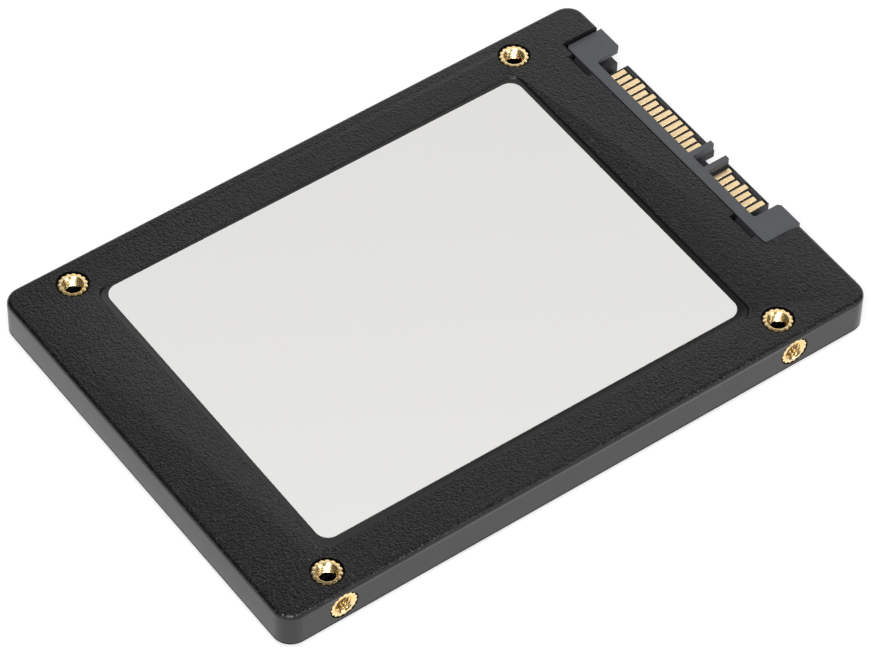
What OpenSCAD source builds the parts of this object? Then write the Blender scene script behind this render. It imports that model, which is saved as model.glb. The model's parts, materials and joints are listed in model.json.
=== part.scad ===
// Solid state drive, 2.5-inch class, 7 mm thick, with a 22-way data and power plug.
// Frame: +Z out of the mounting face, +Y towards the plug, origin at the bottom centre of the box.

/* [Case] */
// Width across the two long sides
case_w = 69.85; // [69.6:0.05:70.1]
// Thickness of the whole drive, lid included
case_h = 7; // [6.9:0.05:7.2]
// Length of the moulded case, without the plug's wings
case_l = 99.8; // [99.4:0.1:100.2]
// Radius of the four upright corners
corner_r = 2.8; // [2.4:0.1:3.2]
// Radius of the rim between the mounting face and the sides
rim_r = 0.7; // [0.5:0.1:0.8]
// Thickness of the shell's side and end walls
wall_t = 1.2; // [1.1:0.05:1.3]
// Thickness of the shell's mounting face
face_t = 1.2; // [1.1:0.05:1.25]
// Thickness of the snap-on lid
lid_t = 1.26; // [1.2:0.02:1.3]
// Width of the bevel round the outside of the lid
lid_bevel = 1.16; // [0.9:0.02:1.16]

/* [Label] */
// Width of the label
label_w = 54; // [50:0.1:54.6]
// Length of the label
label_l = 71; // [66:0.1:71.6]
// Radius of the label's corners
label_r = 2; // [1:0.1:2.5]
// Angle that the hand-laid label is turned by
label_turn = -0.23; // [-0.3:0.01:0.3]
// Width of the shallow pocket that the label lies in
pocket_w = 56.1; // [55.8:0.1:57]
// Length of the pocket
pocket_l = 73.1; // [72.8:0.1:74]
// Depth of the pocket
pocket_d = 0.25; // [0.2:0.05:0.35]

/* [Mounting holes] */
// Distance between the face holes across the drive
hole_pitch_x = 61.72; // [61.6:0.02:61.8]
// Distance between the face holes, and the side holes, along the drive
hole_pitch_y = 76.6; // [76.4:0.1:76.8]
// From the case's plug end to the first row of holes
hole_setback = 13.61; // [13.4:0.01:13.8]
// From the mounting face down to the side holes' axes
side_hole_drop = 3; // [2.95:0.05:3.05]
// Radius of the threaded bore in each brass insert
bore_r = 1.25; // [1.2:0.05:1.3]
// Length of the inserts in the mounting face
face_insert_l = 1.8; // [1.6:0.1:1.9]
// Length of the inserts in the long sides
side_insert_l = 1.6; // [1.4:0.1:1.6]

/* [Plug] */
// Width of the plug body over its two wings
plug_w = 46.74; // [46.7:0.01:46.8]
// Distance from the drive's centre line to the plug's centre, towards -X
plug_offset = 5.205; // [5.2:0.005:5.25]
// How far the wings stand out past the case
plug_proud = 0.65; // [0.4:0.05:0.9]
// Height of the plug's top face
plug_top = 6.12; // [6.05:0.01:6.2]
// Distance from one contact to the next
contact_pitch = 1.27; // [1.26:0.01:1.28]
// Width of a contact
contact_w = 0.87; // [0.8:0.01:0.95]

/* [Circuit board] */
// Width of the board
board_w = 54; // [52:0.5:54]
// Length of the board
board_l = 86; // [84:0.5:88]
// Thickness of the board
board_t = 1; // [0.9:0.05:1.05]
// Height of the board's upper face
board_top = 3.6; // [3.55:0.05:3.65]

/* [Hidden] */
$fn = 64;
eps = 0.01;
cut = 5;

overall_l = case_l + plug_proud;
back_y = -overall_l / 2;
front_y = back_y + case_l;
mid_y = (back_y + front_y) / 2;
face_in = case_h - face_t;

// The shell stands a hair above the lid's rim, which leaves the shadow line round the case.
seam = 0.1;
seam_in = 0.5;
shell_z = lid_t + seam;

// Brass inserts
insert_r = 2.15;
face_recess = 0.18;
side_recess = 0.06;
face_mouth_r = 2.4;
side_mouth_r = 2.28;
mouth_depth = 0.9;
lead_in = 0.32;
knurl_count = 15;
knurl_r = 0.2;
knurl_centre_r = insert_r + 0.03;
boss_r = 3.3;
face_runout_r = 1.6;
face_runout_l = 1.6;
side_runout_r = 1;
side_runout_l = 0.4;
boss_floor = 0.8;
hole_x = hole_pitch_x / 2;
hole_ys = [front_y - hole_setback, front_y - hole_setback - hole_pitch_y];
side_hole_z = case_h - side_hole_drop;

// Label
label_t = 0.1;
label_x = -0.33;
pocket_y = mid_y - 2.11;
pocket_r = 2;

// Plug: places along Y are set back from the case's plug end
plug_x0 = -plug_offset - plug_w / 2;
plug_x1 = plug_x0 + plug_w;
flange_back = front_y - 5.75;
flange_front = front_y - 3.95;
tongue_front = front_y + 0.1;
wing_front = front_y + plug_proud;
wing_t = 0.66;
left_wing_w = 4.9;
right_wing_w = 4.74;
wing_wall = 0.9;
ledge_z = 3.42;
tongue_z = 4.94;
tongue_t = 1.4;
tongue_gap_left = 2.4;
tongue_gap_right = 1.62;
key_w = 0.95;
segment_gap = 2.55;
tongue_x0 = plug_x0 + left_wing_w + tongue_gap_left;
power_tongue_w = 20.46;
power_x1 = tongue_x0 + power_tongue_w;
signal_x0 = power_x1 + segment_gap;
signal_x1 = plug_x1 - right_wing_w - tongue_gap_right;
lug_w = 5.2;
lug_x = [plug_x0 + 2.15, signal_x1 - 0.05];
lug_back = flange_back - 2.2;
lug_top = 6.05;
lug_foot = 3.95;

// Contacts: 1 marks a short one, 0 a long one that meets its mate first
power_short = [1, 1, 0, 0, 1, 0, 1, 1, 0, 0, 0, 0, 0, 1, 1];
signal_short = [0, 1, 1, 0, 1, 1, 0];
power_lead = 0.7;
signal_lead = 1.825;
power_first_x = tongue_x0 + power_lead;
signal_first_x = signal_x0 + signal_lead;
contact_t = 0.22;
contact_proud = 0.03;
long_setback = 0.35;
short_setback = 0.85;
groove_gap = 0.12;
groove_end = 0.18;
groove_lift = 0.03;
tail_back = flange_back - 1.55;
tail_bend = flange_back + 0.6;

// Notch and windows in the shell for the plug
left_gap = 0.16;
right_gap = 0.755;
notch_x = [plug_x0 - left_gap, plug_x1 + right_gap];
notch_back = front_y - 6.42;
window_back = front_y - 7.3;
window_x = [[plug_x0 + 2.4, plug_x0 + 7.2], [signal_x1, signal_x1 + 5.1]];
cheek_back = front_y - 8.2;

// Board and what stands on it
board_front = flange_back - 0.2;
board_mid_y = board_front - board_l / 2;
board_under = board_top - board_t;
board_corner = 1.5;
post_x = 24.2;
post_ys = [board_front - 6.8, board_front - 82.8];
post_r = 2.2;
screw_r = 0.8;
screw_head_r = 1.5;
screw_head_t = 0.75;
screw_l = 2.6;
screw_hole_r = 1.1;
controller_w = 14;
controller_t = 1.2;
controller_at = [-3, 24];
flash_w = 12;
flash_l = 18;
flash_t = 1.15;
flash_x = 13;
flash_ys = [2, -24];
cache_w = 7.5;
cache_l = 11;
cache_at = [13, 24.5];
regulator_w = 5;
regulator_at = [-18, 26];
boot_memory_w = 6;
boot_memory_l = 5;
boot_memory_at = [3, 35];
small_chip_t = 0.8;
mould_lift = 0.1;

// Snap tabs of the lid
tab_l = 8;
tab_t = 0.9;
tab_h = 2.1;
nib = 0.3;
nib_h = 0.6;
tab_side_ys = [-26, 0, 24];
tab_end_xs = [-18, 18];
tab_front_x = 26.5;
fit_gap = 0.1;

// ---- shared shapes ----

// Sweeps a half profile, drawn out to x = $reach, round a rectangle with rounded corners.
module swept_block(w, l, r) {
  for (sx = [-1, 1], sy = [-1, 1])
    translate([sx * (w / 2 - r), sy * (l / 2 - r), 0])
      rotate([0, 0, atan2(sy, sx) - 45])
        rotate_extrude(angle = 90)
          let($reach = r) children();
  for (turn = [0, 180])
    rotate([0, 0, turn])
      rotate([90, 0, 0])
        linear_extrude(l - 2 * r, center = true)
          let($reach = w / 2) children();
  for (turn = [90, 270])
    rotate([0, 0, turn])
      rotate([90, 0, 0])
        linear_extrude(w - 2 * r, center = true)
          let($reach = l / 2) children();
}

// Half profile with a rounded upper edge
module rounded_profile(h, r) {
  square([$reach - r, h]);
  square([$reach, h - r]);
  translate([$reach - r, h - r])
    circle(r);
}

// Half profile that widens upwards from an inset foot
module bevelled_profile(h, inset) {
  polygon([[0, 0], [$reach - inset, 0], [$reach, h], [0, h]]);
}

// Flat plate with rounded corners, standing on z = 0
module plate(w, l, t, r) {
  linear_extrude(t) {
    square([w - 2 * r, l], center = true);
    square([w, l - 2 * r], center = true);
    for (sx = [-1, 1], sy = [-1, 1])
      translate([sx * (w / 2 - r), sy * (l / 2 - r)])
        circle(r);
  }
}

// Box from one corner to the other
module span_box(low, high) {
  translate(low)
    cube(high - low);
}

// Places its children at the four face holes, +Z out of the mounting face
module at_face_holes() {
  for (sx = [-1, 1], y = hole_ys)
    translate([sx * hole_x, y, case_h])
      children();
}

// Places its children at the four side holes, +Z out of the side
module at_side_holes() {
  for (sx = [-1, 1], y = hole_ys)
    translate([sx * case_w / 2, y, side_hole_z])
      rotate([0, sx * 90, 0])
        children();
}

// Hole that an insert is pressed into: open mouth, seat and run-out for the screw's end
module insert_seat(insert_l, recess, mouth_r, runout_r, runout_l) {
  seat = recess + insert_l;
  translate([0, 0, -mouth_depth])
    cylinder(h = mouth_depth + cut, r = mouth_r);
  translate([0, 0, -seat])
    cylinder(h = seat + eps, r = insert_r);
  translate([0, 0, -seat - runout_l])
    cylinder(h = runout_l + eps, r = runout_r);
}

// Knurled brass insert with a bore and a lead-in at its mouth
module insert(insert_l, recess) {
  translate([0, 0, -recess - insert_l])
    difference() {
      cylinder(h = insert_l, r = insert_r);
      translate([0, 0, -cut])
        cylinder(h = insert_l + 2 * cut, r = bore_r);
      translate([0, 0, insert_l - lead_in])
        cylinder(h = lead_in + eps, r1 = bore_r, r2 = bore_r + lead_in);
      for (k = [0:knurl_count - 1])
        rotate([0, 0, k * 360 / knurl_count])
          translate([knurl_centre_r, 0, -cut])
            cylinder(h = insert_l + 2 * cut, r = knurl_r);
    }
}

// Stands its children on the board's upper face at a place in plan
module on_board(at) {
  translate([at[0], at[1], board_top])
    children();
}

// Plain moulded chip with a thin carrier under it
module ball_grid_chip(w, l, t) {
  carrier_t = 0.3;
  mould_inset = 0.25;
  translate([-w / 2, -l / 2, 0])
    cube([w, l, carrier_t]);
  translate([mould_inset - w / 2, mould_inset - l / 2, carrier_t - eps])
    cube([w - 2 * mould_inset, l - 2 * mould_inset, t - carrier_t + eps]);
}

// Two-ended chip part, size [length, width, height], with metal end caps that stand a little proud
module end_capped(size) {
  l = size[0];
  w = size[1];
  t = size[2];
  cap_share = 0.22;
  cap = l * cap_share;
  skin = 0.03;
  translate([-l / 2 + cap, -w / 2 + skin, skin])
    cube([l - 2 * cap, w - 2 * skin, t - 2 * skin]);
  for (sx = [-1, 1])
    translate([sx * (l / 2 - cap / 2), 0, t / 2])
      cube([cap, w, t], center = true);
}

// Moulded body just off the board with a metal end at each side; sizes are [length, width, height]
module ended_mould(body, end, end_x) {
  translate([-body[0] / 2, -body[1] / 2, mould_lift])
    cube(body);
  for (sx = [-1, 1])
    translate([sx * end_x, 0, end[2] / 2])
      cube(end, center = true);
}

// ---- case ----

module plug_notch() {
  span_box([notch_x[0], notch_back, -cut], [notch_x[1], front_y + cut, case_h + cut]);
  for (wx = window_x)
    span_box([wx[0], window_back, face_in - eps], [wx[1], notch_back + eps, case_h + cut]);
}

// Bosses round the face inserts, joined to the walls that hold the side inserts
module hole_bosses() {
  boss_z = case_h - face_recess - face_insert_l - face_runout_l - boss_floor;
  for (sx = [-1, 1], y = hole_ys) {
    translate([sx * hole_x, y, boss_z])
      cylinder(h = face_in - boss_z + eps, r = boss_r);
    translate([sx * (hole_x + case_w / 2 - wall_t) / 2, y, (shell_z + face_in) / 2])
      cube([case_w / 2 - wall_t - hole_x + 2 * eps, 2 * boss_r, face_in - shell_z], center = true);
  }
}

module board_posts() {
  for (sx = [-1, 1], y = post_ys)
    translate([sx * post_x, y, board_top])
      cylinder(h = face_in - board_top + eps, r = post_r);
}

// Walls that close the inside off beside the plug
module plug_cheeks() {
  for (x = [notch_x[0] - wall_t, notch_x[1]])
    span_box([x, cheek_back, shell_z], [x + wall_t, front_y - wall_t + eps, face_in + eps]);
}

// Slots in the walls that the lid's nibs snap into
module nib_slots() {
  slot_z = shell_z + tab_h - nib_h - 2 * fit_gap;
  slot_h = nib_h + 3 * fit_gap;
  depth = nib + fit_gap;
  for (sx = [-1, 1], y = tab_side_ys)
    translate([sx * (case_w / 2 - wall_t + depth / 2), y, slot_z + slot_h / 2])
      cube([depth + 2 * eps, tab_l + 4 * fit_gap, slot_h], center = true);
  for (x = tab_end_xs)
    translate([x, back_y + wall_t - depth / 2, slot_z + slot_h / 2])
      cube([tab_l + 4 * fit_gap, depth + 2 * eps, slot_h], center = true);
  translate([tab_front_x, front_y - wall_t + depth / 2, slot_z + slot_h / 2])
    cube([tab_l + 4 * fit_gap, depth + 2 * eps, slot_h], center = true);
}

module base_shell() {
  color([0.17, 0.17, 0.17])
    difference() {
      union() {
        difference() {
          translate([0, mid_y, shell_z])
            swept_block(case_w, case_l, corner_r)
              rounded_profile(case_h - shell_z, rim_r);
          translate([0, mid_y, shell_z - eps])
            plate(case_w - 2 * wall_t, case_l - 2 * wall_t, face_in - shell_z + eps, corner_r - wall_t);
        }
        hole_bosses();
        board_posts();
        plug_cheeks();
      }
      plug_notch();
      nib_slots();
      translate([0, pocket_y, case_h - pocket_d])
        swept_block(pocket_w, pocket_l, pocket_r)
          bevelled_profile(pocket_d, pocket_d);
      at_face_holes()
        insert_seat(face_insert_l, face_recess, face_mouth_r, face_runout_r, face_runout_l);
      at_side_holes()
        insert_seat(side_insert_l, side_recess, side_mouth_r, side_runout_r, side_runout_l);
      for (sx = [-1, 1], y = post_ys)
        translate([sx * post_x, y, board_top - eps])
          cylinder(h = screw_l - board_t, r = screw_r);
    }
}

// One snap tab: an upright with a nib on its outer side, +Y outwards, face at y = 0
module snap_tab() {
  translate([-tab_l / 2, -tab_t - fit_gap, 0])
    cube([tab_l, tab_t, tab_h]);
  nib_out = nib + fit_gap;
  translate([-tab_l / 2, -fit_gap - eps, tab_h - nib_h])
    rotate([90, 0, 90])
      linear_extrude(tab_l)
        polygon([[0, 0], [nib_out, nib_h / 4], [nib_out, nib_h / 2], [0, nib_h]]);
}

module lid_cover() {
  rim_band = lid_t - lid_bevel;
  color([0.19, 0.19, 0.19]) {
    translate([0, mid_y, 0])
      swept_block(case_w, case_l, corner_r)
        bevelled_profile(lid_bevel, lid_bevel);
    translate([0, mid_y, lid_bevel - eps])
      plate(case_w, case_l, rim_band + eps, corner_r);
    difference() {
      translate([0, mid_y, lid_t - eps])
        plate(case_w - 2 * seam_in, case_l - 2 * seam_in, seam + eps, corner_r - seam_in);
      span_box([notch_x[0], flange_front, lid_t], [notch_x[1], front_y + cut, case_h]);
    }
    for (sx = [-1, 1], y = tab_side_ys)
      translate([sx * (case_w / 2 - wall_t), y, shell_z - eps])
        rotate([0, 0, -sx * 90])
          snap_tab();
    for (x = tab_end_xs)
      translate([x, back_y + wall_t, shell_z - eps])
        rotate([0, 0, 180])
          snap_tab();
    translate([tab_front_x, front_y - wall_t, shell_z - eps])
      snap_tab();
  }
}

module label() {
  color([0.88, 0.88, 0.87])
    translate([label_x, pocket_y, case_h - pocket_d])
      rotate([0, 0, label_turn])
        plate(label_w, label_l, label_t, label_r);
}

module face_inserts() {
  color([0.85, 0.68, 0.36])
    at_face_holes()
      insert(face_insert_l, face_recess);
}

module side_inserts() {
  color([0.85, 0.68, 0.36])
    at_side_holes()
      insert(side_insert_l, side_recess);
}

// ---- plug ----

// Plan outline of the plug's top: the cross bar with a wing at each end
module plug_outline() {
  back_chamfer = 0.4;
  inner_chamfer = 0.68;
  right_chamfer = 0.45;
  outer_chamfer = 0.1;
  fillet = 0.3;
  left_wing_x = plug_x0 + left_wing_w;
  right_wing_x = plug_x1 - right_wing_w;
  polygon([
    [plug_x0, flange_back + back_chamfer],
    [plug_x0 + back_chamfer, flange_back],
    [plug_x1 - back_chamfer, flange_back],
    [plug_x1, flange_back + back_chamfer],
    [plug_x1, wing_front - outer_chamfer],
    [plug_x1 - outer_chamfer, wing_front],
    [right_wing_x + right_chamfer, wing_front],
    [right_wing_x, wing_front - right_chamfer],
    [right_wing_x, flange_front + fillet],
    [right_wing_x - fillet, flange_front],
    [left_wing_x + fillet, flange_front],
    [left_wing_x, flange_front + fillet],
    [left_wing_x, wing_front - inner_chamfer],
    [left_wing_x - inner_chamfer, wing_front],
    [plug_x0, wing_front]
  ]);
}

module tongue(x0, x1) {
  span_box([x0, flange_front - eps, tongue_z - tongue_t], [x1, tongue_front, tongue_z]);
}

// Upright key at the inner end of a tongue
module tongue_key(x0) {
  tip = 0.2;
  translate([0, 0, tongue_z - tongue_t])
    linear_extrude(plug_top - tongue_z + tongue_t)
      polygon([
        [x0, flange_front - eps], [x0 + key_w, flange_front - eps],
        [x0 + key_w, tongue_front - tip], [x0 + key_w - tip, tongue_front],
        [x0, tongue_front]
      ]);
}

// Wing below its top plate: outer wall and the ledge under the guide slot
module wing_base(outer_x, inner_x) {
  wall_x = outer_x + sign(inner_x - outer_x) * wing_wall;
  span_box(
    [min(outer_x, inner_x), flange_front - eps, shell_z],
    [max(outer_x, inner_x), tongue_front, ledge_z]
  );
  span_box(
    [min(outer_x, wall_x), flange_front - eps, shell_z],
    [max(outer_x, wall_x), tongue_front, plug_top - wing_t + eps]
  );
}

// Lug behind the cross bar that sits on the board: a ramp that falls away from the bar
module plug_lug(x0) {
  slant = 0.3;
  intersection() {
    translate([0, flange_back + eps, 0])
      rotate([90, 0, 0])
        linear_extrude(flange_back - lug_back + eps)
          polygon([
            [x0, board_top], [x0 + lug_w, board_top],
            [x0 + lug_w, lug_top], [x0 + slant, lug_top]
          ]);
    translate([x0 - eps, 0, board_top])
      rotate([90, 0, 90])
        linear_extrude(lug_w + 2 * eps)
          polygon([
            [lug_back - eps, -eps], [flange_back + cut, -eps],
            [flange_back + cut, lug_top - board_top], [flange_back, lug_top - board_top],
            [lug_back - eps, lug_foot - board_top]
          ]);
  }
}

// Centre lines of a contact row
function row_xs(first, shorts) = [for (k = [0:len(shorts) - 1]) first + k * contact_pitch];

// Grooves that hold the contacts, and slots in the back of the cross bar for their bends
module contact_grooves(first, shorts) {
  half = contact_w / 2 + groove_gap;
  groove_top = tongue_z + contact_proud + groove_lift;
  xs = row_xs(first, shorts);
  for (k = [0:len(shorts) - 1]) {
    span_box(
      [xs[k] - half, flange_back, tongue_z - contact_t],
      [xs[k] + half, contact_front(shorts[k]) + groove_end, groove_top]
    );
    span_box(
      [xs[k] - half, flange_back - cut, board_top - cut],
      [xs[k] + half, tail_bend + contact_t + groove_lift, groove_top]
    );
  }
}

function contact_front(short) = tongue_front - (short == 1 ? short_setback : long_setback);

module connector_body() {
  color([0.37, 0.38, 0.40])
    difference() {
      union() {
        translate([0, 0, plug_top - wing_t])
          linear_extrude(wing_t)
            plug_outline();
        span_box(
          [plug_x0, flange_back + wing_wall / 2, shell_z],
          [plug_x1, flange_front, plug_top - wing_t + eps]
        );
        span_box(
          [tongue_x0, flange_back, board_top],
          [signal_x1, flange_front, plug_top - wing_t + eps]
        );
        wing_base(plug_x0, plug_x0 + left_wing_w);
        wing_base(plug_x1, plug_x1 - right_wing_w);
        tongue(tongue_x0, power_x1);
        tongue(signal_x0, signal_x1);
        tongue_key(power_x1 - key_w);
        tongue_key(signal_x0);
        for (x = lug_x)
          plug_lug(x);
      }
      contact_grooves(power_first_x, power_short);
      contact_grooves(signal_first_x, signal_short);
      hold_down_slots(fit_gap / 2);
    }
}

// Side view of a contact: pad, bend and solder foot
module contact(x, short) {
  pad_z = tongue_z + contact_proud;
  under_z = tongue_z - contact_t;
  translate([x - contact_w / 2, 0, 0])
    rotate([90, 0, 90])
      linear_extrude(contact_w)
        polygon([
          [tail_back, board_top], [tail_bend + contact_t, board_top],
          [tail_bend + contact_t, under_z], [contact_front(short), under_z],
          [contact_front(short), pad_z], [tail_bend, pad_z],
          [tail_bend, board_top + contact_t], [tail_back, board_top + contact_t]
        ]);
}

module contact_row(first, shorts) {
  xs = row_xs(first, shorts);
  color([0.93, 0.78, 0.5])
    for (k = [0:len(shorts) - 1])
      contact(xs[k], shorts[k]);
}

module power_contacts() {
  contact_row(power_first_x, power_short);
}

module signal_contacts() {
  contact_row(signal_first_x, signal_short);
}

// Room for the metal posts that hold the plug down on the board
module hold_down_slots(gap) {
  post_w = 1.6;
  post_t = 0.4;
  below_board = 0.5;
  post_top = 4.4;
  post_back = lug_back + 0.8;
  for (x = lug_x)
    span_box(
      [x + lug_w / 2 - post_w / 2 - gap, post_back - gap, board_under - below_board - gap],
      [x + lug_w / 2 + post_w / 2 + gap, post_back + post_t + gap, post_top + gap]
    );
}

module connector_hold_downs() {
  color([0.75, 0.75, 0.74])
    hold_down_slots(0);
}

// ---- board ----

module circuit_board() {
  color([0.05, 0.28, 0.16])
    difference() {
      translate([0, board_mid_y, board_under])
        plate(board_w, board_l, board_t, board_corner);
      for (sx = [-1, 1], y = post_ys)
        translate([sx * post_x, y, board_under - cut])
          cylinder(h = board_t + 2 * cut, r = screw_hole_r);
      hold_down_slots(fit_gap);
    }
}

module board_screws() {
  cross_l = 1.4;
  cross_w = 0.3;
  cross_d = 0.4;
  tip_gap = 0.2;
  color([0.6, 0.6, 0.6])
    for (sx = [-1, 1], y = post_ys)
      translate([sx * post_x, y, board_under])
        difference() {
          union() {
            translate([0, 0, -screw_head_t])
              cylinder(h = screw_head_t, r = screw_head_r);
            cylinder(h = screw_l - tip_gap, r = screw_r);
          }
          for (turn = [0, 90])
            rotate([0, 0, turn])
              translate([-cross_l / 2, -cross_w / 2, -screw_head_t - eps])
                cube([cross_l, cross_w, cross_d]);
        }
}

module controller_chip() {
  color([0.1, 0.1, 0.11])
    on_board(controller_at)
      ball_grid_chip(controller_w, controller_w, controller_t);
}

module cache_chip() {
  color([0.1, 0.1, 0.11])
    on_board(cache_at)
      ball_grid_chip(cache_w, cache_l, flash_t);
}

// Flash memory, one package of the two by two group
module flash_chip(column, row) {
  color([0.1, 0.1, 0.11])
    on_board([column * flash_x, flash_ys[row]])
      ball_grid_chip(flash_w, flash_l, flash_t);
}

module power_regulator() {
  color([0.12, 0.12, 0.13])
    on_board(regulator_at)
      ball_grid_chip(regulator_w, regulator_w, small_chip_t);
}

module boot_memory_chip() {
  color([0.12, 0.12, 0.13])
    on_board(boot_memory_at)
      ball_grid_chip(boot_memory_w, boot_memory_l, small_chip_t);
}

module surge_diode() {
  diode_at = [-15, 36];
  color([0.14, 0.14, 0.15])
    on_board(diode_at)
      ended_mould([4.3, 3.6, 1.8], [0.9, 2, 1], 2.2);
}

module clock_crystal() {
  crystal_at = [-5, 35.5];
  base = [3.2, 2.5, 0.35];
  can = [2.9, 2.2, 0.4];
  color([0.78, 0.78, 0.76])
    on_board(crystal_at) {
      translate([-base[0] / 2, -base[1] / 2, 0])
        cube(base);
      translate([-can[0] / 2, -can[1] / 2, base[2] - eps])
        cube(can);
    }
}

module power_inductors() {
  inductor_ys = [31, 20, 14];
  color([0.25, 0.25, 0.26])
    for (y = inductor_ys)
      on_board([regulator_at[0], y])
        ended_mould([4, 4, 1.7], [0.8, 3, 0.6], 1.7);
}

module tantalum_capacitors() {
  capacitor_ys = [-39, -35, -31];
  color([0.75, 0.55, 0.2])
    for (y = capacitor_ys)
      on_board([0, y])
        ended_mould([3.5, 2.8, 1.7], [0.6, 2.2, 0.8], 1.6);
}

// Decoupling capacitors stand in rows beside the chips that they feed
module ceramic_capacitors() {
  body = [1.6, 0.8, 0.8];
  flash_row_x = flash_x + flash_w / 2 + 3;
  flash_row_pitch = 3;
  controller_row_y = controller_at[1] - controller_w / 2 - 2;
  controller_row_pitch = 2.6;
  color([0.62, 0.5, 0.38]) {
    for (sx = [-1, 1], y = flash_ys, k = [-2:2])
      on_board([sx * flash_row_x, y + k * flash_row_pitch])
        end_capped(body);
    for (k = [-2:2])
      on_board([controller_at[0] + k * controller_row_pitch, controller_row_y])
        end_capped(body);
  }
}

module chip_resistors() {
  body = [1, 0.5, 0.35];
  data_row_y = tail_back - 4;
  data_row_half = 0.7;
  middle_row_y = (flash_ys[0] + flash_ys[1]) / 2;
  middle_row_pitch = 1.6;
  color([0.16, 0.16, 0.17]) {
    for (k = [0:len(signal_short) - 1], side = [-1, 1])
      on_board([signal_first_x + k * contact_pitch, data_row_y + side * data_row_half])
        rotate([0, 0, 90])
          end_capped(body);
    for (k = [-3:3])
      on_board([k * middle_row_pitch, middle_row_y])
        end_capped(body);
  }
}

// Soft pad that fills the gap between a chip and the mounting face
module thermal_pad(at, chip_w, chip_l, chip_t) {
  pad_edge = 1;
  translate([at[0] - chip_w / 2 + pad_edge, at[1] - chip_l / 2 + pad_edge, board_top + chip_t])
    cube([chip_w - 2 * pad_edge, chip_l - 2 * pad_edge, face_in - board_top - chip_t]);
}

module controller_thermal_pad() {
  color([0.55, 0.68, 0.8])
    thermal_pad(controller_at, controller_w, controller_w, controller_t);
}

module flash_thermal_pads() {
  color([0.55, 0.68, 0.8])
    for (sx = [-1, 1], y = flash_ys)
      thermal_pad([sx * flash_x, y], flash_w, flash_l, flash_t);
}

base_shell();
lid_cover();
label();
face_inserts();
side_inserts();
connector_body();
power_contacts();
signal_contacts();
connector_hold_downs();
circuit_board();
board_screws();
controller_chip();
cache_chip();
flash_chip(-1, 0);  // flash_chip_1
flash_chip(1, 0);  // flash_chip_2
flash_chip(-1, 1);  // flash_chip_3
flash_chip(1, 1);  // flash_chip_4
power_regulator();
boot_memory_chip();
surge_diode();
clock_crystal();
power_inductors();
tantalum_capacitors();
ceramic_capacitors();
chip_resistors();
controller_thermal_pad();
flash_thermal_pads();
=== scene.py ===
import json
import math

import bmesh
import bpy
from mathutils import Matrix, Vector


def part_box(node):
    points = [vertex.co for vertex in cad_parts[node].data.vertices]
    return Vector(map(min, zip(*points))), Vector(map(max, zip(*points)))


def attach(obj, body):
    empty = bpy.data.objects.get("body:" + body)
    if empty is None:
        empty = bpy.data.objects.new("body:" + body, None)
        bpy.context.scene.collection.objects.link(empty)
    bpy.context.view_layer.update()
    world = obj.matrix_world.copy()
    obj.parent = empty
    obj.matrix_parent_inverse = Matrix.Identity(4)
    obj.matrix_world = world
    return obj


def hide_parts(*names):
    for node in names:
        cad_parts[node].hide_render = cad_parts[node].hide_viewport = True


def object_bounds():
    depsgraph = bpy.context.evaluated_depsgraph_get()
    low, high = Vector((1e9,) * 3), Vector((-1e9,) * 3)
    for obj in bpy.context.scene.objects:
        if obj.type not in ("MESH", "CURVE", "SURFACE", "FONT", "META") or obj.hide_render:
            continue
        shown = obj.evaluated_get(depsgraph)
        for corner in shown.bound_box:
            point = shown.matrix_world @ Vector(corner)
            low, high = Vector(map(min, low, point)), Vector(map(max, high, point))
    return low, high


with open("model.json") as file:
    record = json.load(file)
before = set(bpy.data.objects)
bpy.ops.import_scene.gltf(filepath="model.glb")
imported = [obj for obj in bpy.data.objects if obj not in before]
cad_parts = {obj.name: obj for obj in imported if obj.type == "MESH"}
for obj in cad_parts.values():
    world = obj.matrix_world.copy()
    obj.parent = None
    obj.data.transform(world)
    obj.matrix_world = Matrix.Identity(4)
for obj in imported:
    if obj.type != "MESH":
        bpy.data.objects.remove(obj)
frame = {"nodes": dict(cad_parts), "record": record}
CAD_LOW, CAD_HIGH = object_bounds()

MM = 0.001
NODES = frame["nodes"]
MOUNTS = {mount["name"]: mount for mount in frame["record"]["mounts"]}
CENTRE = (CAD_LOW + CAD_HIGH) / 2

# Camera: long lens, looking down on the mounting face from the side with the data contacts
VIEW_AZIMUTH = 52.94
VIEW_ELEVATION = 49.60
VIEW_ROLL = 1.512
VIEW_DISTANCE = 673.98 * MM
VIEW_LENS = 199.58
VIEW_AIM = Vector((2.317, -2.100, 0.0)) * MM

# Stage. Each light: name, azimuth and elevation in degrees, distance and size in metres, watts
FLOOR_HALF = 1.6
FLOOR_GAP = 0.02 * MM
FLOOR_GREY = (0.45, 0.45, 0.45)
FLOOR_GLOW = 0.62
WORLD_STRENGTH = 0.07
LIGHTS = (
    ("back", 222, 30.2, 1.2, (1.25, 1.0), 4.2),
    ("overhead", 53, 64, 1.1, (0.5, 0.5), 7.4),
    ("key", 38, 44, 1.0, (0.3, 0.3), 3.6),
    ("right_back", 117, 32, 1.1, (0.4, 0.4), 2.2),
)

# Radii of the moulded edges. All sizes from here on are in millimetres
SHELL_EDGE = 0.07
LID_EDGE = 0.05
PLUG_EDGE = 0.05

# Bands in which the case's grain fades: sideways from the label, and down from the face
POCKET_FADE = (1.8, 2.0)
FACE_FADE = (0.2, 0.08)
RIM_FADE = (0.34, 0.26)

# Brass inserts
SIDE_INSERT_LENGTH = 1.6
INSERT_RADIUS = 2.15
INSERT_MOUTH = 1.57
INSERT_CHAMFER = 0.06
WAIST_HALF = 0.16
WAIST_SLOPE = 0.06
WAIST_DROP = 0.22
THREAD_MINOR = 1.25
THREAD_MAJOR = 1.5
THREAD_PITCH = 0.5
THREAD_CREST = 0.125
THREAD_FLANK = 0.625
KNURL_TEETH = 15
KNURL_DEPTH = 0.22
KNURL_STEPS = 8
THREAD_STEPS = 12

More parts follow.
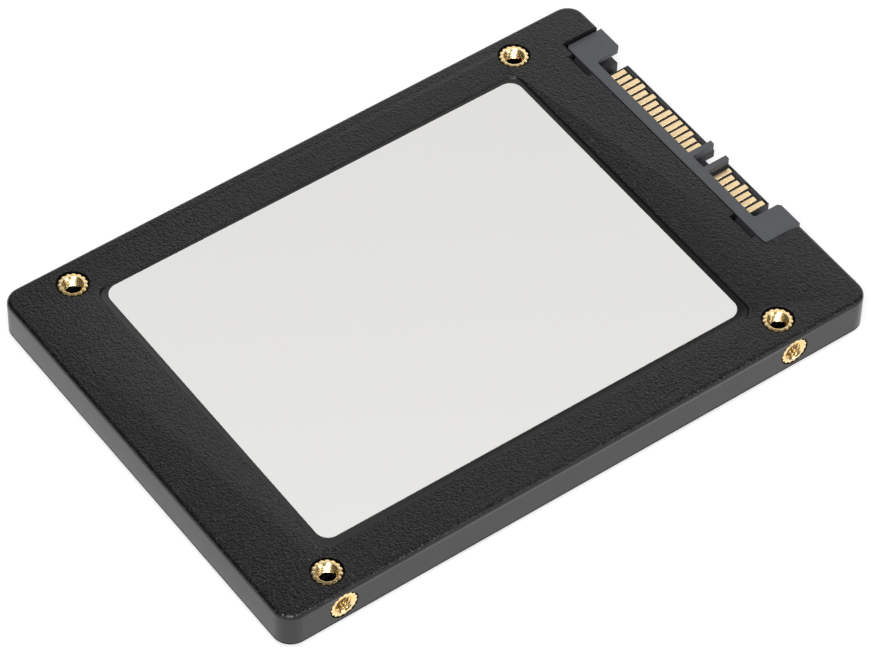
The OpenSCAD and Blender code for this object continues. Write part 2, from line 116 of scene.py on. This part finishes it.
# Contacts: S is a short one, L a long one
POWER_PATTERN = "SSLLSLSSLLLLLSS"
DATA_PATTERN = "LSSLSSL"
CONTACT_WIDTH = 0.87
CONTACT_THICKNESS = 0.2
CONTACT_EASE = 0.035
NOSE_RADIUS = 0.16
NOSE_CORNER = 0.2
NOSE_SHARES = (0.0, 0.25, 0.5, 0.75)
BEND_RADIUS = 0.22
SHORT_BY = 0.5
FOOT_LENGTH = 2.15
BEND_INSIDE = 0.6
FLANGE_DEPTH = 1.8


# ---------------------------------------------------------------- camera, stage, light


def direction(azimuth, elevation):
    """Unit vector from the object towards a viewer or a light, angles in degrees."""
    a, e = math.radians(azimuth), math.radians(elevation)
    return Vector((math.sin(a) * math.cos(e), -math.cos(a) * math.cos(e), math.sin(e)))


def facing(back):
    """Turns a camera or light, which look along -Z, towards the object."""
    return (-back).to_track_quat("-Z", "Y").to_matrix().to_4x4()


def link(obj):
    bpy.context.scene.collection.objects.link(obj)
    return obj


def make_camera():
    data = bpy.data.cameras.new("camera")
    data.lens = VIEW_LENS
    data.clip_start = 0.01
    data.clip_end = 20
    camera = link(bpy.data.objects.new("camera", data))
    back = direction(VIEW_AZIMUTH, VIEW_ELEVATION)
    roll = Matrix.Rotation(math.radians(VIEW_ROLL), 4, "Z")
    place = Matrix.Translation(CENTRE + VIEW_AIM + back * VIEW_DISTANCE)
    camera.matrix_world = place @ facing(back) @ roll
    bpy.context.scene.camera = camera


def make_light(name, azimuth, elevation, distance, size, power):
    data = bpy.data.lights.new(name, "AREA")
    data.shape = "RECTANGLE"
    data.size, data.size_y = size
    data.energy = power
    lamp = link(bpy.data.objects.new(name, data))
    back = direction(azimuth, elevation)
    lamp.matrix_world = Matrix.Translation(CENTRE + back * distance) @ facing(back)


def make_stage():
    half = FLOOR_HALF
    mesh = bpy.data.meshes.new("floor")
    corners = [(-half, -half, 0), (half, -half, 0), (half, half, 0), (-half, half, 0)]
    mesh.from_pydata(corners, [], [(0, 1, 2, 3)])
    floor = link(bpy.data.objects.new("floor", mesh))
    floor.location.z = CAD_LOW.z - FLOOR_GAP
    paper = Surface("floor_paper", FLOOR_GREY, 0.75)
    paper.put("Emission Color", (1, 1, 1, 1))
    paper.put("Emission Strength", FLOOR_GLOW)
    paper.roughness(paper.spread(paper.noise(0.4, 3), 0.7, 0.8))
    paper.dress(floor)


def make_world():
    world = bpy.data.worlds.new("studio")
    world.use_nodes = True
    shade = world.node_tree.nodes["Background"]
    shade.inputs["Color"].default_value = (1, 1, 1, 1)
    shade.inputs["Strength"].default_value = WORLD_STRENGTH
    bpy.context.scene.world = world


# ---------------------------------------------------------------- materials


class Surface:
    """A procedural material: a principled shader and the nodes that feed it, in millimetres."""

    def __init__(self, name, base, roughness, metallic=0.0, specular=0.5):
        self.material = bpy.data.materials.new(name)
        self.material.use_nodes = True
        self.tree = self.material.node_tree
        self.tree.nodes.clear()
        output = self.add("ShaderNodeOutputMaterial")
        self.shader = self.add("ShaderNodeBsdfPrincipled")
        self.tree.links.new(self.shader.outputs["BSDF"], output.inputs["Surface"])
        self.put("Base Color", (*base, 1))
        self.put("Roughness", roughness)
        self.put("Metallic", metallic)
        self.put("Specular IOR Level", specular)
        place = self.add("ShaderNodeTexCoord")
        scaled = self.add("ShaderNodeVectorMath", operation="SCALE")
        self.tree.links.new(place.outputs["Object"], scaled.inputs[0])
        scaled.inputs["Scale"].default_value = 1 / MM
        self.place = scaled.outputs["Vector"]
        self.material.diffuse_color = (*base, 1)

    def add(self, kind, **settings):
        node = self.tree.nodes.new(kind)
        for key, value in settings.items():
            setattr(node, key, value)
        return node

    def put(self, socket, value):
        """Sets a socket of the shader, or links it when value is an output."""
        self.feed(self.shader.inputs[socket], value)

    def feed(self, socket, value):
        if isinstance(value, bpy.types.NodeSocket):
            self.tree.links.new(value, socket)
        else:
            socket.default_value = value

    def sum(self, operation, a, b=0.0):
        node = self.add("ShaderNodeMath", operation=operation)
        self.feed(node.inputs[0], a)
        self.feed(node.inputs[1], b)
        return node.outputs[0]

    def remap(self, value, low, high, to_low=0.0, to_high=1.0):
        node = self.add("ShaderNodeMapRange", interpolation_type="SMOOTHSTEP")
        self.feed(node.inputs["Value"], value)
        self.feed(node.inputs["From Min"], low)
        self.feed(node.inputs["From Max"], high)
        self.feed(node.inputs["To Min"], to_low)
        self.feed(node.inputs["To Max"], to_high)
        return node.outputs["Result"]

    def spread(self, noise, to_low, to_high):
        """Spreads the range that a noise mostly keeps to over another range."""
        return self.remap(noise, 0.3, 0.7, to_low, to_high)

    def noise(self, scale, detail=2.0, rough=0.5, stretch=None, distortion=0.0):
        node = self.add("ShaderNodeTexNoise")
        self.feed(node.inputs["Vector"], self.stretched(stretch))
        self.feed(node.inputs["Scale"], scale)
        self.feed(node.inputs["Detail"], detail)
        self.feed(node.inputs["Roughness"], rough)
        self.feed(node.inputs["Distortion"], distortion)
        return node.outputs["Fac"]

    def cells(self, scale, feature="SMOOTH_F1"):
        node = self.add("ShaderNodeTexVoronoi", feature=feature)
        self.feed(node.inputs["Vector"], self.place)
        self.feed(node.inputs["Scale"], scale)
        self.feed(node.inputs["Randomness"], 1.0)
        return node.outputs["Distance"]

    def stretched(self, factors):
        if factors is None:
            return self.place
        node = self.add("ShaderNodeVectorMath", operation="MULTIPLY")
        self.feed(node.inputs[0], self.place)
        self.feed(node.inputs[1], factors)
        return node.outputs["Vector"]

    def axis(self, letter):
        node = self.add("ShaderNodeSeparateXYZ")
        self.feed(node.inputs[0], self.place)
        return node.outputs[letter]

    def mix(self, factor, a, b):
        """Blends two colours, each a triple or an output."""
        node = self.add("ShaderNodeMix", data_type="RGBA")
        self.feed(node.inputs["Factor"], factor)
        for socket, value in ((node.inputs[6], a), (node.inputs[7], b)):
            self.feed(socket, value if isinstance(value, bpy.types.NodeSocket) else (*value, 1))
        return node.outputs[2]

    def colour(self, value):
        self.put("Base Color", value)

    def roughness(self, value):
        self.put("Roughness", value)

    def bump(self, height, depth):
        """Adds a bump of height times depth, in millimetres, to those already there."""
        node = self.add("ShaderNodeBump")
        self.feed(node.inputs["Height"], height)
        self.feed(node.inputs["Strength"], 1.0)
        self.feed(node.inputs["Distance"], depth * MM)
        if self.shader.inputs["Normal"].links:
            self.feed(node.inputs["Normal"], self.shader.inputs["Normal"].links[0].from_socket)
        self.put("Normal", node.outputs["Normal"])

    def dress(self, *objects):
        for obj in objects:
            obj.data.materials.clear()
            obj.data.materials.append(self.material)


def tinted(base, factor):
    return tuple(channel * factor for channel in base)


def shell_plastic():
    """Black moulding: leather grain on the face and its rim, smooth pocket floor, satin sides."""
    skin = Surface("shell_plastic", (0.005, 0.0049, 0.0048), 0.3, specular=0.5)
    pocket_low, pocket_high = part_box("label")
    face_z = CAD_HIGH.z / MM
    z = skin.axis("Z")
    off_pocket = 0.0
    for k, letter in enumerate("XY"):
        low, high = pocket_low[k], pocket_high[k]
        middle, half = (low + high) / 2 / MM, (high - low) / 2 / MM
        off = skin.sum("ABSOLUTE", skin.sum("SUBTRACT", skin.axis(letter), middle))
        beyond = skin.remap(off, half + POCKET_FADE[0], half + POCKET_FADE[1])
        off_pocket = skin.sum("MAXIMUM", off_pocket, beyond)
    on_face = skin.remap(z, face_z - FACE_FADE[0], face_z - FACE_FADE[1])
    near_face = skin.remap(z, face_z - RIM_FADE[0], face_z - RIM_FADE[1])
    on_rim = skin.sum("MULTIPLY", off_pocket, near_face)
    grained = skin.sum("MAXIMUM", on_face, on_rim)
    pebble = skin.cells(2.5)
    crease = skin.noise(3.3, 2, 0.5, distortion=0.7)
    grain = skin.sum("ADD", skin.sum("MULTIPLY", pebble, 0.6), crease)
    fine = skin.noise(14, 2)
    smudge = skin.noise(0.09, 3, 0.6)
    skin.bump(skin.sum("MULTIPLY", grain, grained), 0.1)
    skin.bump(fine, 0.003)
    # Painted light: the smooth sides and pocket floor get a lighter base colour than the grained
    # face and rim, so that they read brighter
    skin.colour(skin.mix(grained, (0.007, 0.0069, 0.0068), (0.004, 0.0039, 0.0038)))
    skin.roughness(skin.spread(smudge, 0.26, 0.32))
    return skin


def lid_plastic():
    """Black moulding with an even spark-eroded grain and faint handling marks."""
    skin = Surface("lid_plastic", (0.02, 0.02, 0.02), 0.5, specular=0.4)
    grain = skin.noise(9, 3, 0.6)
    marks = skin.noise(0.5, 4, 0.7, stretch=(1.0, 0.12, 1.0))
    skin.bump(grain, 0.02)
    skin.colour(skin.mix(grain, (0.016, 0.016, 0.016), (0.025, 0.025, 0.025)))
    skin.roughness(skin.spread(marks, 0.45, 0.6))
    return skin


def label_film():
    """Blank matt film: a trace of fibre and the slight waviness of a hand-laid sticker."""
    film = Surface("label_film", (0.742, 0.736, 0.721), 0.6, specular=0.2)
    fibre = film.noise(5, 4, 0.6)
    wave = film.noise(0.05, 1)
    film.colour(film.mix(fibre, (0.735, 0.729, 0.714), (0.749, 0.743, 0.728)))
    film.roughness(film.spread(fibre, 0.56, 0.66))
    film.bump(fibre, 0.002)
    film.bump(wave, 0.03)
    return film


def insert_brass():
    """Turned brass: fine rings from the tool, warm tarnish in patches."""
    brass = Surface("insert_brass", (0.9, 0.68, 0.34), 0.22, metallic=1.0)
    turning = brass.noise(26, 2, 0.5)
    tarnish = brass.noise(1.1, 3)
    dull = brass.remap(tarnish, 0.35, 0.7)
    brass.colour(brass.mix(dull, (1.0, 0.78, 0.42), (0.94, 0.69, 0.32)))
    brass.roughness(brass.spread(turning, 0.2, 0.32))
    brass.bump(turning, 0.004)
    return brass


def connector_plastic():
    """Slate-grey glass-filled plastic: satin, faintly mottled, with painted shade (a darker base
    colour) behind the cross bar and on the tongues, which lie deep in the plug."""
    resin = Surface("connector_plastic", (0.06, 0.064, 0.072), 0.4, specular=0.45)
    mottle = resin.noise(1.2, 4, 0.65, stretch=(0.6, 1.0, 1.0))
    speck = resin.noise(16, 2)
    contacts_low, contacts_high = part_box("power_contacts")
    flange_back = contacts_low.y / MM + FOOT_LENGTH - BEND_INSIDE
    flange_front = flange_back + FLANGE_DEPTH
    pad_top = contacts_high.z / MM
    # Painted shade: the base colour turns much darker behind the cross bar and on the tongues in
    # front of it, where the plug lies deep and unlit
    outside_painted_shade = resin.remap(resin.axis("Y"), flange_back, flange_back + 0.15)
    on_flange = resin.remap(resin.axis("Y"), flange_front, flange_front + 0.1, 1.0, 0.0)
    off_tongue = resin.remap(resin.axis("Z"), pad_top + 0.05, pad_top + 0.3)
    outside_painted_shade = resin.sum("MULTIPLY", outside_painted_shade, resin.sum("MAXIMUM", on_flange, off_tongue))
    shade = resin.mix(mottle, (0.065, 0.068, 0.076), (0.089, 0.092, 0.1))
    # The first colour is the painted shade; the mottled one is the plastic's own colour
    resin.colour(resin.mix(outside_painted_shade, (0.02, 0.02, 0.023), shade))
    resin.roughness(resin.spread(speck, 0.36, 0.46))
    resin.bump(speck, 0.004)
    return resin


def contact_plating():
    """Pale gold plating, a little redder where it has been wiped by a mate."""
    gold = Surface("contact_plating", (0.96, 0.74, 0.43), 0.3, metallic=1.0)
    wipe = gold.noise(3, 3, stretch=(3.0, 0.35, 1.0))
    gold.colour(gold.mix(wipe, (0.98, 0.77, 0.47), (0.95, 0.71, 0.4)))
    gold.roughness(gold.spread(wipe, 0.26, 0.38))
    gold.bump(gold.noise(20, 2), 0.003)
    return gold


def grained_metal(name, base, roughness, stretch):
    """Plated sheet metal with a rolled grain."""
    metal = Surface(name, base, roughness, metallic=1.0)
    rolled = metal.noise(4, 4, 0.6, stretch=stretch)
    metal.colour(metal.mix(rolled, tinted(base, 0.85), tinted(base, 1.05)))
    metal.roughness(metal.spread(rolled, roughness - 0.08, roughness + 0.1))
    metal.bump(rolled, 0.004)
    return metal


def board_laminate():
    """Green solder mask over copper: soft track relief, weave underneath."""
    mask = Surface("board_laminate", (0.015, 0.1, 0.05), 0.32, specular=0.5)
    tracks = mask.remap(mask.cells(0.35, feature="DISTANCE_TO_EDGE"), 0.05, 0.12)
    weave = mask.noise(1.6, 2, stretch=(1.0, 4.0, 1.0))
    mask.colour(mask.mix(tracks, (0.025, 0.14, 0.07), (0.012, 0.085, 0.042)))
    mask.roughness(mask.spread(weave, 0.28, 0.38))
    mask.bump(tracks, 0.03)
    return mask


def moulded(name, base, roughness, grain_scale=12, depth=0.01):
    """Moulded or sintered body with a fine grain and slightly uneven colour."""
    body = Surface(name, base, roughness)
    grain = body.noise(grain_scale, 3, 0.6)
    patch = body.noise(0.8, 2)
    body.colour(body.mix(patch, tinted(base, 0.8), tinted(base, 1.25)))
    body.roughness(body.spread(grain, roughness - 0.06, roughness + 0.08))
    body.bump(grain, depth)
    return body


# ---------------------------------------------------------------- pieces


def new_piece(name, bm, slot, *stands_for):
    """Turns a bmesh into a piece that rides on the drive and stands for CAD nodes."""
    mesh = bpy.data.meshes.new(name)
    bm.normal_update()
    bm.to_mesh(mesh)
    bm.free()
    piece = link(bpy.data.objects.new(name, mesh))
    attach(piece, "root")
    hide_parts(*stands_for)
    return piece


def smooth(piece, sharp_above):
    """Shades smooth, except across edges sharper than the given angle in degrees."""
    piece.data.shade_smooth()
    piece.data.set_sharp_from_angle(angle=math.radians(sharp_above))


def softened(node, slot, width, segments=2):
    """A copy of a CAD node whose sharp edges have the small radius of a moulded or cut one."""
    bm = bmesh.new()
    bm.from_mesh(NODES[node].data)
    bmesh.ops.remove_doubles(bm, verts=bm.verts, dist=1e-7)
    bmesh.ops.dissolve_limit(bm, angle_limit=math.radians(0.5), verts=bm.verts, edges=bm.edges)
    piece = new_piece(node + "_soft", bm, slot, node)
    smooth(piece, 30)
    bevel = piece.modifiers.new("edge_radius", "BEVEL")
    bevel.width = width * MM
    bevel.segments = segments
    bevel.limit_method = "ANGLE"
    bevel.angle_limit = math.radians(30)
    bevel.harden_normals = True
    bevel.use_clamp_overlap = True
    return piece


def thread_radius(turn, depth):
    """Radius of the threaded wall: 60-degree grooves, flat at the crest and the root."""
    phase = (depth / THREAD_PITCH - turn) % 1.0
    rise = abs(2 * phase - 1)
    ramp = min(1.0, max(0.0, (rise - THREAD_CREST) / THREAD_FLANK))
    return THREAD_MINOR + (THREAD_MAJOR - THREAD_MINOR) * ramp


def knurl_radius(turn):
    """Outer radius of the knurled wall: rounded teeth with narrow valleys."""
    phase = (turn * KNURL_TEETH) % 1.0
    return INSERT_RADIUS - KNURL_DEPTH * (1 - math.sin(math.pi * phase))


def insert_mesh(bm, length, place):
    """Adds one knurled insert with an open threaded bore. Its mouth is at z = 0, its body below."""
    around = KNURL_TEETH * KNURL_STEPS
    lead = INSERT_MOUTH - THREAD_MINOR
    waist = length * 0.5
    shoulder = WAIST_HALF + WAIST_SLOPE
    rows = []

    def ring(radius_at, depth):
        points = []
        for k in range(around):
            turn = k / around
            r = radius_at(turn, depth) * MM
            angle = 2 * math.pi * turn
            point = Vector((r * math.cos(angle), r * math.sin(angle), -depth * MM))
            points.append(bm.verts.new(place @ point))
        rows.append(points)

    def outer(drop):
        return lambda turn, depth: knurl_radius(turn) - drop

    def inner(turn, depth):
        radius = thread_radius(turn, depth)
        return max(INSERT_MOUTH - depth, radius) if depth < lead else radius

    ring(outer(INSERT_CHAMFER), 0.0)
    ring(outer(INSERT_CHAMFER * 0.3), INSERT_CHAMFER * 0.25)
    ring(outer(0.0), INSERT_CHAMFER)
    ring(outer(0.0), waist - shoulder)
    ring(outer(WAIST_DROP), waist - WAIST_HALF)
    ring(outer(WAIST_DROP), waist + WAIST_HALF)
    ring(outer(0.0), waist + shoulder)
    ring(outer(0.0), length - INSERT_CHAMFER)
    ring(outer(INSERT_CHAMFER), length)
    steps = round(length / THREAD_PITCH * THREAD_STEPS)
    for k in range(steps, -1, -1):
        ring(inner, length * k / steps)
    rows.append(rows[0])
    for low, high in zip(rows, rows[1:]):
        for k in range(around):
            n = (k + 1) % around
            bm.faces.new((low[k], high[k], high[n], low[n]))


def hole_places(mount_name):
    """Frames of a mount's holes: origin at the mouth, +Z outwards."""
    mount = MOUNTS[mount_name]
    axis = Vector(mount["axis"])
    centre = Vector(mount["pos_m"])
    dims = mount["dims"]
    units = [Vector(v) for v in ((1, 0, 0), (0, 1, 0), (0, 0, 1))]
    across = [unit for unit in units if abs(axis.dot(unit)) < 0.5]
    halves = [dims.get(key, 0) * MM / 2 for key in ("spacing_x_mm", "spacing_y_mm")]
    spots = {(a * halves[0], b * halves[1]) for a in (-1, 1) for b in (-1, 1)}
    turn = axis.to_track_quat("Z", "Y").to_matrix().to_4x4()
    return [
        Matrix.Translation(centre + across[0] * a + across[1] * b) @ turn
        for a, b in sorted(spots)
    ]


def make_inserts(node, length, mounts):
    """One insert, length long, in each hole of the mounts."""
    bm = bmesh.new()
    for name in mounts:
        for place in hole_places(name):
            insert_mesh(bm, length, place)
    bmesh.ops.recalc_face_normals(bm, faces=bm.faces)
    piece = new_piece(node + "_turned", bm, "insert_brass", node)
    smooth(piece, 40)
    return piece


def contact_path(box_low, box_high, front):
    """Side view of a contact's middle line as (y, z) points, nose first."""
    half = CONTACT_THICKNESS / 2
    pad_z = box_high.z / MM - half
    foot_z = box_low.z / MM + half
    back = box_low.y / MM
    bend_y = back + FOOT_LENGTH + half
    nose_r, bend_r = NOSE_RADIUS, BEND_RADIUS
    points = []

    def arc(cy, cz, r, start, stop, steps):
        for k in range(steps + 1):
            a = math.radians(start + (stop - start) * k / steps)
            points.append((cy + r * math.cos(a), cz + r * math.sin(a)))

    arc(front - nose_r - half, pad_z - nose_r, nose_r, 20, 90, 4)
    arc(bend_y + bend_r, pad_z - bend_r, bend_r, 90, 180, 5)
    arc(bend_y - bend_r, foot_z + bend_r, bend_r, 0, -90, 5)
    points.append((back, foot_z))
    return points


def add_contact(bm, x, path):
    """Sweeps a flat strip with eased edges along the path, its nose rounded in plan."""
    half_t, ease, corner = CONTACT_THICKNESS / 2, CONTACT_EASE, NOSE_CORNER
    rings = []
    travelled = 0.0
    stations = []
    first, second = path[0], path[1]
    for share in NOSE_SHARES:
        stations.append(tuple(a + (b - a) * share for a, b in zip(first, second)))
    stations += path[1:]
    for k, point in enumerate(stations):
        if k:
            travelled += math.dist(point, stations[k - 1])
        before = stations[max(k - 1, 0)]
        after = stations[min(k + 1, len(stations) - 1)]
        ty, tz = after[0] - before[0], after[1] - before[1]
        size = math.hypot(ty, tz)
        ny, nz = tz / size, -ty / size
        if travelled < corner:
            inset = corner - math.sqrt(max(0.0, corner**2 - (corner - travelled) ** 2))
        else:
            inset = 0.0
        half_w = CONTACT_WIDTH / 2 - inset
        side_w, side_t = half_w - ease, half_t - ease
        section = [
            (side_w, half_t), (half_w, side_t), (half_w, -side_t), (side_w, -half_t),
            (-side_w, -half_t), (-half_w, -side_t), (-half_w, side_t), (-side_w, half_t),
        ]
        rings.append([
            bm.verts.new(((x + u) * MM, (point[0] + ny * v) * MM, (point[1] + nz * v) * MM))
            for u, v in section
        ])
    for a, b in zip(rings, rings[1:]):
        for k in range(len(a)):
            n = (k + 1) % len(a)
            bm.faces.new((a[k], a[n], b[n], b[k]))
    bm.faces.new(rings[0][::-1])
    bm.faces.new(rings[-1])


def make_contacts(node, pattern):
    """A row of contacts that fills its node's box, one for each letter of the pattern."""
    low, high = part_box(node)
    width = (high.x - low.x) / MM
    first = low.x / MM + CONTACT_WIDTH / 2
    pitch = (width - CONTACT_WIDTH) / (len(pattern) - 1)
    bm = bmesh.new()
    for k, kind in enumerate(pattern):
        front = high.y / MM - (SHORT_BY if kind == "S" else 0.0)
        add_contact(bm, first + k * pitch, contact_path(low, high, front))
    bmesh.ops.recalc_face_normals(bm, faces=bm.faces)
    piece = new_piece(node + "_strips", bm, "contact_plating", node)
    smooth(piece, 35)
    return piece


# ---------------------------------------------------------------- build


make_camera()
make_world()
make_stage()
for light in LIGHTS:
    make_light(*light)

scene = bpy.context.scene
scene.view_settings.view_transform = "Standard"
scene.view_settings.look = "None"

shell = softened("base_shell", "shell_plastic", SHELL_EDGE)
shell_plastic().dress(shell)
lid = softened("lid_cover", "lid_plastic", LID_EDGE)
lid_plastic().dress(lid)
plug = softened("connector_body", "connector_plastic", PLUG_EDGE)
connector_plastic().dress(plug)

face_insert_low, face_insert_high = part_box("face_inserts")
face_insert_length = (face_insert_high.z - face_insert_low.z) / MM
side_mounts = ("right_side_holes", "left_side_holes")
brass = insert_brass()
brass.dress(make_inserts("face_inserts", face_insert_length, ("face_holes",)))
brass.dress(make_inserts("side_inserts", SIDE_INSERT_LENGTH, side_mounts))

gold = contact_plating()
gold.dress(make_contacts("power_contacts", POWER_PATTERN))
gold.dress(make_contacts("signal_contacts", DATA_PATTERN))

label_film().dress(NODES["label"])
board_laminate().dress(NODES["circuit_board"])
tinned_steel = grained_metal("tinned_steel", (0.7, 0.7, 0.69), 0.38, (1.0, 1.0, 0.1))
tinned_steel.dress(NODES["connector_hold_downs"])
screw_steel = grained_metal("screw_steel", (0.55, 0.55, 0.55), 0.35, (1.0, 1.0, 0.3))
screw_steel.dress(NODES["board_screws"])
crystal_can = grained_metal("crystal_can", (0.72, 0.72, 0.7), 0.3, (0.2, 1.0, 1.0))
crystal_can.dress(NODES["clock_crystal"])

chip = moulded("chip_mould", (0.02, 0.02, 0.022), 0.55)
for name in (
    "controller_chip", "cache_chip", "flash_chip_1", "flash_chip_2", "flash_chip_3",
    "flash_chip_4", "power_regulator", "boot_memory_chip", "surge_diode",
):
    chip.dress(NODES[name])
moulded("inductor_ferrite", (0.08, 0.08, 0.082), 0.7).dress(NODES["power_inductors"])
moulded("tantalum_mould", (0.62, 0.4, 0.1), 0.5).dress(NODES["tantalum_capacitors"])
moulded("capacitor_ceramic", (0.42, 0.3, 0.2), 0.45).dress(NODES["ceramic_capacitors"])
moulded("resistor_ceramic", (0.04, 0.04, 0.045), 0.35).dress(NODES["chip_resistors"])
soft_pad = moulded("thermal_pad_silicone", (0.35, 0.48, 0.62), 0.8, 6, 0.02)
soft_pad.dress(NODES["controller_thermal_pad"], NODES["flash_thermal_pads"])
